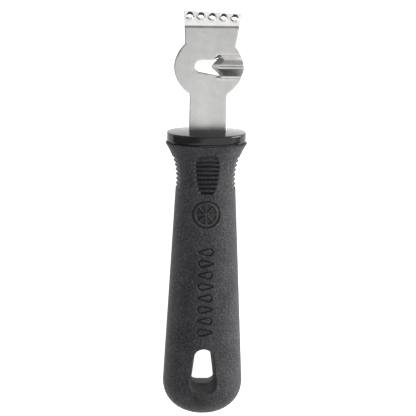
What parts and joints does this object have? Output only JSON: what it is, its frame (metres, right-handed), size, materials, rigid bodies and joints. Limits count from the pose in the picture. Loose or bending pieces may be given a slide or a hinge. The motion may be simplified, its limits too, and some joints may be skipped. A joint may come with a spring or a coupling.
{
  "type": "citrus zester with channel knife",
  "caption": "Hand citrus zester: flat steel blade with a row of raised zesting holes and a V channel knife, glossy black collar and black soft-grip handle with a hang hole.",
  "frame": {"origin": "on the surface the tool lies on, under the middle of its overall box: half way along it, on the handle's middle line, level with the back of the grip's lip", "axes": "+X to the right across the tool seen from its face, +Y along the tool from the hang hole to the zesting tip, +Z out of the face, up when the tool lies on its back"},
  "size_m": [0.0312, 0.1578, 0.0207],
  "materials": {
    "blade_steel": "fine brushed, ground at the cutting edges",
    "collar_gloss": "polished",
    "core_plastic": "as moulded",
    "grip_soft": "fine stipple"
  },
  "bodies": {
    "root": {"blade": "blade_steel", "collar": "collar_gloss", "core": "core_plastic", "grip": "grip_soft"}
  },
  "joints": []
}
